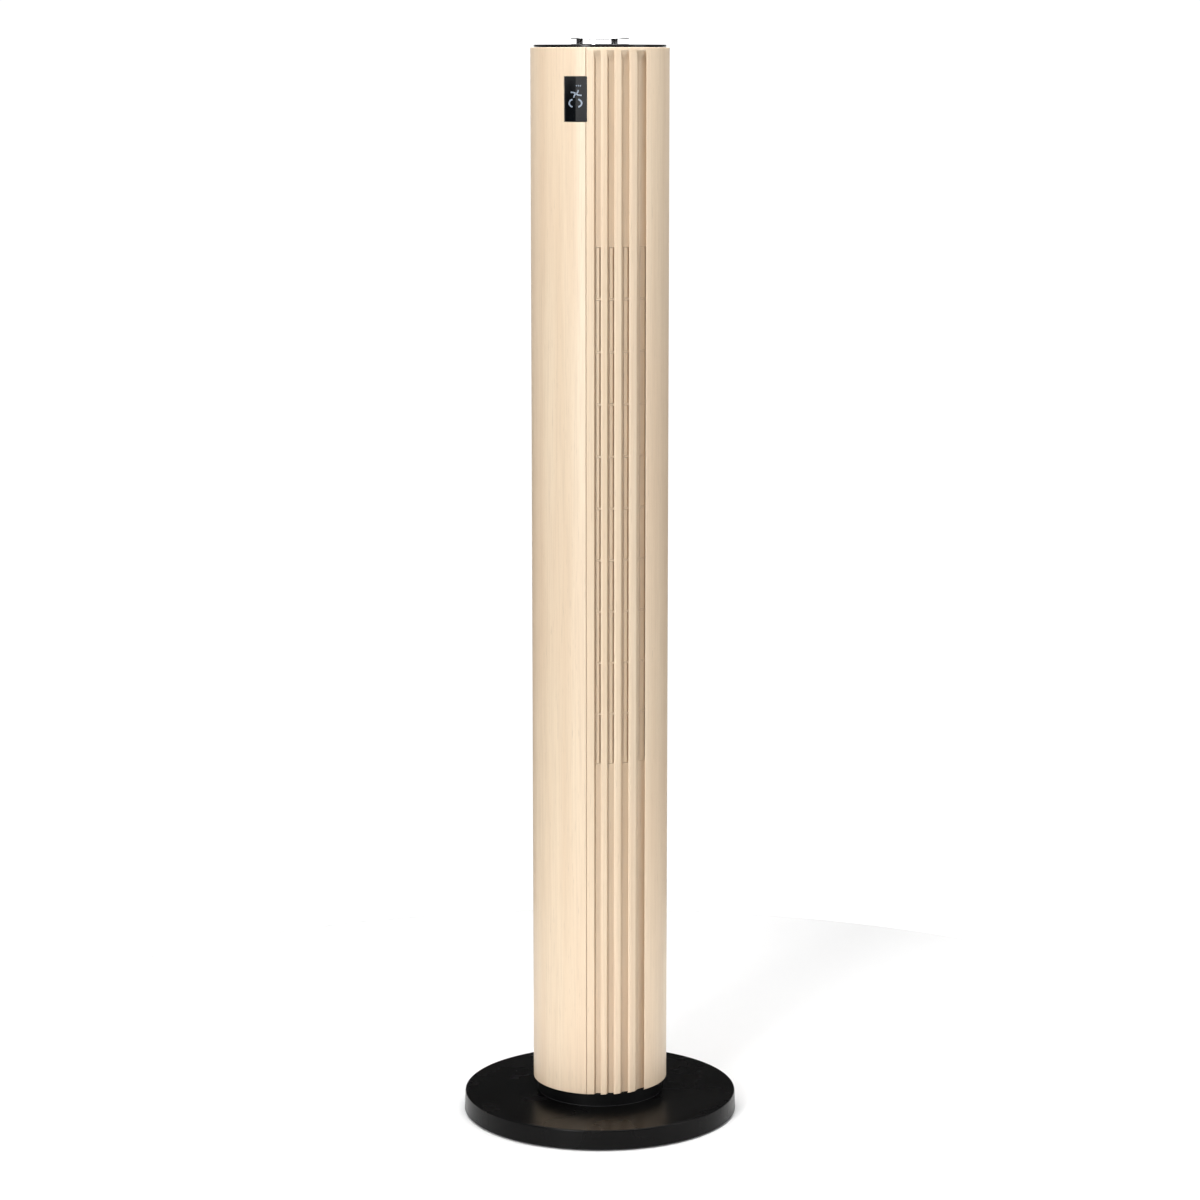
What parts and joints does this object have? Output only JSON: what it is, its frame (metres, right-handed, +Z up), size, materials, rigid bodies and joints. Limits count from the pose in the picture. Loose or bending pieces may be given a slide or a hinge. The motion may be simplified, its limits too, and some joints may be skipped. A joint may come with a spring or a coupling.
{
  "type": "tower air purifier",
  "caption": "Slim round wood-look tower purifier on a black swivel base, with a fluted side outlet, a black display window and a metal control dial on top.",
  "frame": {"origin": "on the floor under the middle of the round base, where the swing axis meets it", "axes": "+Z up along the tower and the swing axis; -Y to the front, where the display faces; +X to the right of the display as the tower sees it from the front, where the fluted outlet is"},
  "size_m": [0.2852, 0.2852, 1.1107],
  "materials": {
    "wood_shell": "light maple-look shell, satin, fine upright grain",
    "black_gloss": "near-black moulded plastic, semi-gloss",
    "black_matte": "black moulded plastic, matt",
    "display_glass": "smoked acrylic window, polished",
    "chrome": "polished chrome",
    "steel": "zinc-plated steel",
    "ballast": "painted cast ballast",
    "rubber": "soft black rubber",
    "inner_plastic": "unpainted light ABS",
    "gear_plastic": "natural acetal",
    "board": "green circuit board with its components",
    "copper": "laminated core with enamelled copper windings",
    "filter_media": "pleated non-woven filter paper",
    "filter_mesh": "dark nylon pre-filter mesh"
  },
  "bodies": {
    "base": {"base_cover": "black_gloss", "base_bottom_plate": "black_matte", "ballast_plate": "ballast", "foot_1": "rubber", "foot_2": "rubber", "foot_3": "rubber", "foot_4": "rubber", "base_screw_1": "steel", "base_screw_2": "steel", "base_screw_3": "steel", "base_screw_4": "steel", "swivel_hub": "gear_plastic", "swing_gear_sector": "gear_plastic", "hub_cap": "steel", "hub_screw_1": "steel", "hub_screw_2": "steel", "hub_screw_3": "steel", "slide_ring": "black_matte"},
    "tower": {"turntable": "black_matte", "chassis_floor": "inner_plastic", "swing_motor": "steel", "left_shell": "wood_shell", "grille_shell": "wood_shell", "rear_shell": "wood_shell", "outlet_vanes": "wood_shell", "shell_screw_1": "steel", "shell_screw_2": "steel", "shell_screw_3": "steel", "shell_screw_4": "steel", "display_window": "display_glass", "display_board": "board", "control_tray": "inner_plastic", "control_board": "board", "tact_switch": "black_matte", "button_guide": "inner_plastic", "top_deck": "black_gloss", "scroll_wall": "inner_plastic", "vortex_tongue": "inner_plastic", "duct_bottom_plate": "inner_plastic", "duct_top_plate": "inner_plastic", "board_bracket": "inner_plastic", "power_board": "board", "transformer": "copper", "power_inlet": "black_matte", "inlet_pin_1": "steel", "inlet_pin_2": "steel", "motor_housing": "steel", "motor_stator": "copper", "upper_bearing": "rubber"},
    "fan_wheel": {"motor_rotor": "steel", "impeller": "black_matte", "upper_pin": "steel"},
    "swing_pinion": {"drive_pinion": "gear_plastic"},
    "dial": {"dial_ring": "chrome", "encoder_wheel": "black_matte"},
    "button": {"power_button": "black_gloss"},
    "intake_cover": {"rear_cover": "wood_shell", "filter_frame": "inner_plastic", "filter_media": "filter_media", "prefilter": "filter_mesh"}
  },
  "joints": [
    {"name": "oscillation", "type": "hinge", "parent": "base", "child": "tower", "pos_m": [0, 0, 0], "axis": [0, 0, 1], "range_deg": [-40, 40]},
    {"name": "pinion_spin", "type": "hinge", "parent": "tower", "child": "swing_pinion", "pos_m": [0, 0.0375, 0], "axis": [0, 0, 1], "range_deg": [-162, 162]},
    {"name": "fan_spin", "type": "hinge", "parent": "tower", "child": "fan_wheel", "pos_m": [0.006, -0.014, 0], "axis": [0, 0, 1], "continuous": true},
    {"name": "dial_turn", "type": "hinge", "parent": "tower", "child": "dial", "pos_m": [0, 0, 0], "axis": [0, 0, 1], "continuous": true},
    {"name": "button_press", "type": "slide", "parent": "tower", "child": "button", "axis": [0, 0, -1], "range_m": [0, 0.0008], "stiffness_N_per_m": 2000},
    {"name": "cover_pull", "type": "slide", "parent": "tower", "child": "intake_cover", "axis": [0, 1, 0], "range_m": [0, 0.08]}
  ],
  "couplings": [
    {"joint": "pinion_spin", "follows": "oscillation", "ratio": 4}
  ]
}
